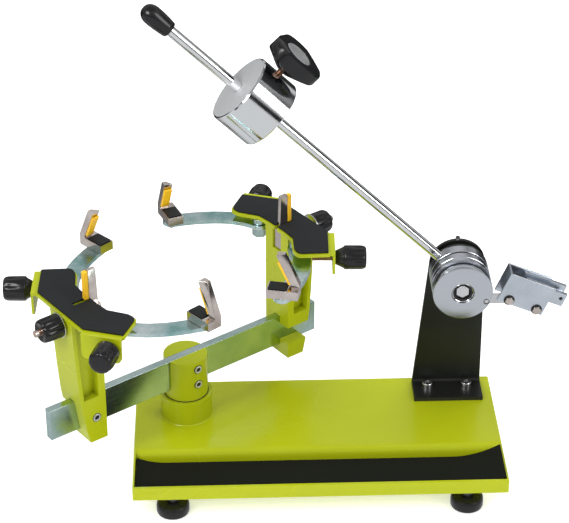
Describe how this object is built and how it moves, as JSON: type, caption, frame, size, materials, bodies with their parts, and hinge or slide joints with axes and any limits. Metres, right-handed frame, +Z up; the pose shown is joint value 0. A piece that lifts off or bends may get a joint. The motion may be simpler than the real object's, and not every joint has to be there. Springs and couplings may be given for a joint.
{
  "type": "racket stringing machine",
  "caption": "Table-top drop-weight racket stringing machine: folded tray base, turntable beam with sliding racket heads, swing arms with hooks, and a swinging weighted rod with string gripper.",
  "frame": {"origin": "middle of the bounding box footprint, on the surface that the feet stand on", "axes": "+X to the right along the base, towards the tension arm; +Y to the rear; +Z up"},
  "size_m": [0.6494, 0.3748, 0.5664],
  "materials": {
    "lime_paint": "gloss",
    "mat_rubber": "matte",
    "black_rubber": "satin",
    "black_plastic": "satin",
    "black_paint": "satin",
    "zinc_plate": "satin",
    "chrome": "polished",
    "turned_steel": "turned",
    "yellow_pad": "satin",
    "steel_screw": "satin"
  },
  "bodies": {
    "base": {"base_pan": "lime_paint", "tray_mat": "mat_rubber", "foot_front_left": "black_rubber", "foot_front_right": "black_rubber", "foot_rear_left": "black_rubber", "foot_rear_right": "black_rubber", "tension_bracket": "black_paint", "bracket_screw_left": "chrome", "bracket_screw_right": "chrome", "axle_bolt": "chrome"},
    "turntable": {"swivel_post": "lime_paint", "swivel_bolt": "steel_screw", "post_screw_lower": "steel_screw", "post_screw_upper": "steel_screw", "slide_beam": "zinc_plate"},
    "left_head": {"upright_left": "lime_paint", "upright_screw_left": "steel_screw", "head_plate_left": "lime_paint", "head_pad_left": "black_rubber", "arm_bolt_left_rear": "zinc_plate", "arm_bolt_left_front": "zinc_plate"},
    "left_centre_knob": {"centre_knob_left": "black_plastic"},
    "left_centre_support": {"centre_support_left": "chrome", "centre_pad_left": "yellow_pad"},
    "left_rear_arm": {"swing_arm_left_rear": "zinc_plate"},
    "left_rear_hook": {"shoulder_hook_left_rear": "chrome", "grip_pad_left_rear": "yellow_pad"},
    "left_rear_arm_knob": {"arm_knob_left_rear": "black_plastic"},
    "left_front_arm": {"swing_arm_left_front": "zinc_plate"},
    "left_front_hook": {"shoulder_hook_left_front": "chrome", "grip_pad_left_front": "yellow_pad"},
    "left_front_arm_knob": {"arm_knob_left_front": "black_plastic"},
    "right_head": {"upright_right": "lime_paint", "upright_screw_right": "steel_screw", "head_plate_right": "lime_paint", "head_pad_right": "black_rubber", "arm_bolt_right_rear": "zinc_plate", "arm_bolt_right_front": "zinc_plate"},
    "right_centre_knob": {"centre_knob_right": "black_plastic"},
    "right_centre_support": {"centre_support_right": "chrome", "centre_pad_right": "yellow_pad"},
    "right_rear_arm": {"swing_arm_right_rear": "zinc_plate"},
    "right_rear_hook": {"shoulder_hook_right_rear": "chrome", "grip_pad_right_rear": "yellow_pad"},
    "right_rear_arm_knob": {"arm_knob_right_rear": "black_plastic"},
    "right_front_arm": {"swing_arm_right_front": "zinc_plate"},
    "right_front_hook": {"shoulder_hook_right_front": "chrome", "grip_pad_right_front": "yellow_pad"},
    "right_front_arm_knob": {"arm_knob_right_front": "black_plastic"},
    "rod": {"clutch_ring": "turned_steel", "tension_rod": "chrome", "rod_cap": "black_plastic"},
    "weight": {"drop_weight": "chrome"},
    "weight_knob": {"weight_knob": "black_plastic"},
    "drum": {"tension_drum": "turned_steel"},
    "link": {"gripper_link": "turned_steel"},
    "gripper": {"gripper_frame": "zinc_plate", "gripper_bolt_near": "steel_screw", "gripper_bolt_far": "steel_screw"},
    "jaw": {"gripper_jaw": "zinc_plate"}
  },
  "joints": [
    {"name": "turntable_spin", "type": "hinge", "parent": "base", "child": "turntable", "pos_m": [-0.12107, -0.00333, 0.078], "axis": [0, 0, 1], "continuous": true},
    {"name": "left_head_slide", "type": "slide", "parent": "turntable", "child": "left_head", "axis": [0.8151, 0.5793, 0], "range_m": [-0.015, 0.02]},
    {"name": "left_centre_knob_spin", "type": "hinge", "parent": "left_head", "child": "left_centre_knob", "pos_m": [-0.25557, -0.09891, 0.237], "axis": [0.8151, 0.5793, 0], "range_deg": [-3490, 3490]},
    {"name": "left_centre_slide", "type": "slide", "parent": "left_head", "child": "left_centre_support", "axis": [0.8151, 0.5793, 0], "range_m": [-0.012, 0.012]},
    {"name": "left_rear_arm_swing", "type": "hinge", "parent": "left_head", "child": "left_rear_arm", "pos_m": [-0.24545, -0.04755, 0.2405], "axis": [0, 0, 1], "range_deg": [-10, 0]},
    {"name": "left_rear_hook_swivel", "type": "hinge", "parent": "left_rear_arm", "child": "left_rear_hook", "pos_m": [-0.22106, 0.05561, 0.243], "axis": [0, 0, 1], "range_deg": [-20, 20]},
    {"name": "left_rear_arm_knob_spin", "type": "hinge", "parent": "left_head", "child": "left_rear_arm_knob", "pos_m": [-0.28183, -0.02841, 0.24], "axis": [-0.9996, 0.03, 0], "range_deg": [-360, 360]},
    {"name": "left_front_arm_swing", "type": "hinge", "parent": "left_head", "child": "left_front_arm", "pos_m": [-0.20374, -0.10624, 0.2405], "axis": [0, 0, 1], "range_deg": [0, 10]},
    {"name": "left_front_hook_swivel", "type": "hinge", "parent": "left_front_arm", "child": "left_front_hook", "pos_m": [-0.09779, -0.10957, 0.243], "axis": [0, 0, 1], "range_deg": [-20, 20]},
    {"name": "left_front_arm_knob_spin", "type": "hinge", "parent": "left_head", "child": "left_front_arm_knob", "pos_m": [-0.19763, -0.14689, 0.24], "axis": [-0.3004, -0.9538, 0], "range_deg": [-360, 360]},
    {"name": "right_head_slide", "type": "slide", "parent": "turntable", "child": "right_head", "axis": [0.8151, 0.5793, 0], "range_m": [-0.02, 0.015]},
    {"name": "right_centre_knob_spin", "type": "hinge", "parent": "right_head", "child": "right_centre_knob", "pos_m": [0.02157, 0.09805, 0.237], "axis": [0.8151, 0.5793, 0], "range_deg": [-5818, 1164]},
    {"name": "right_centre_slide", "type": "slide", "parent": "right_head", "child": "right_centre_support", "axis": [0.8151, 0.5793, 0], "range_m": [-0.02, 0.004]},
    {"name": "right_rear_arm_swing", "type": "hinge", "parent": "right_head", "child": "right_rear_arm", "pos_m": [-0.03026, 0.10538, 0.2405], "axis": [0, 0, 1], "range_deg": [0, 10]},
    {"name": "right_rear_hook_swivel", "type": "hinge", "parent": "right_rear_arm", "child": "right_rear_hook", "pos_m": [-0.13567, 0.11646, 0.243], "axis": [0, 0, 1], "range_deg": [-20, 20]},
    {"name": "right_rear_arm_knob_spin", "type": "hinge", "parent": "right_head", "child": "right_rear_arm_knob", "pos_m": [-0.03637, 0.14603, 0.24], "axis": [0.3004, 0.9538, 0], "range_deg": [-360, 360]},
    {"name": "right_front_arm_swing", "type": "hinge", "parent": "right_head", "child": "right_front_arm", "pos_m": [0.01145, 0.04669, 0.2405], "axis": [0, 0, 1], "range_deg": [-10, 0]},
    {"name": "right_front_hook_swivel", "type": "hinge", "parent": "right_front_arm", "child": "right_front_hook", "pos_m": [-0.00895, -0.05733, 0.243], "axis": [0, 0, 1], "range_deg": [-20, 20]},
    {"name": "right_front_arm_knob_spin", "type": "hinge", "parent": "right_head", "child": "right_front_arm_knob", "pos_m": [0.04784, 0.02755, 0.24], "axis": [0.9996, -0.03, 0], "range_deg": [-360, 360]},
    {"name": "rod_swing", "type": "hinge", "parent": "base", "child": "rod", "pos_m": [0.20113, 0.02282, 0.218], "axis": [0, 1, 0], "range_deg": [0, 140]},
    {"name": "weight_slide", "type": "slide", "parent": "rod", "child": "weight", "axis": [-0.7193, 0, 0.6947], "range_m": [-0.16, 0.085]},
    {"name": "weight_knob_spin", "type": "hinge", "parent": "weight", "child": "weight_knob", "pos_m": [-0.03949, 0.02282, 0.45036], "axis": [0.6947, 0, 0.7193], "continuous": true},
    {"name": "drum_turn", "type": "hinge", "parent": "base", "child": "drum", "pos_m": [0.20113, -0.00433, 0.218], "axis": [0, 1, 0], "range_deg": [-150, 30]},
    {"name": "link_swing", "type": "hinge", "parent": "drum", "child": "link", "pos_m": [0.22883, -0.01483, 0.2063], "axis": [0, 1, 0], "range_deg": [-15, 15]},
    {"name": "gripper_swing", "type": "hinge", "parent": "link", "child": "gripper", "pos_m": [0.25533, -0.01483, 0.2063], "axis": [0, 1, 0], "range_deg": [-20, 20]},
    {"name": "jaw_slide", "type": "slide", "parent": "gripper", "child": "jaw", "axis": [0.9232, 0, -0.3843], "range_m": [0, 0.008]}
  ],
  "couplings": [
    {"joint": "left_centre_knob_spin", "follows": "left_centre_slide", "rad_per_m": 5026.5},
    {"joint": "right_centre_knob_spin", "follows": "right_centre_slide", "rad_per_m": 5026.5}
  ]
}
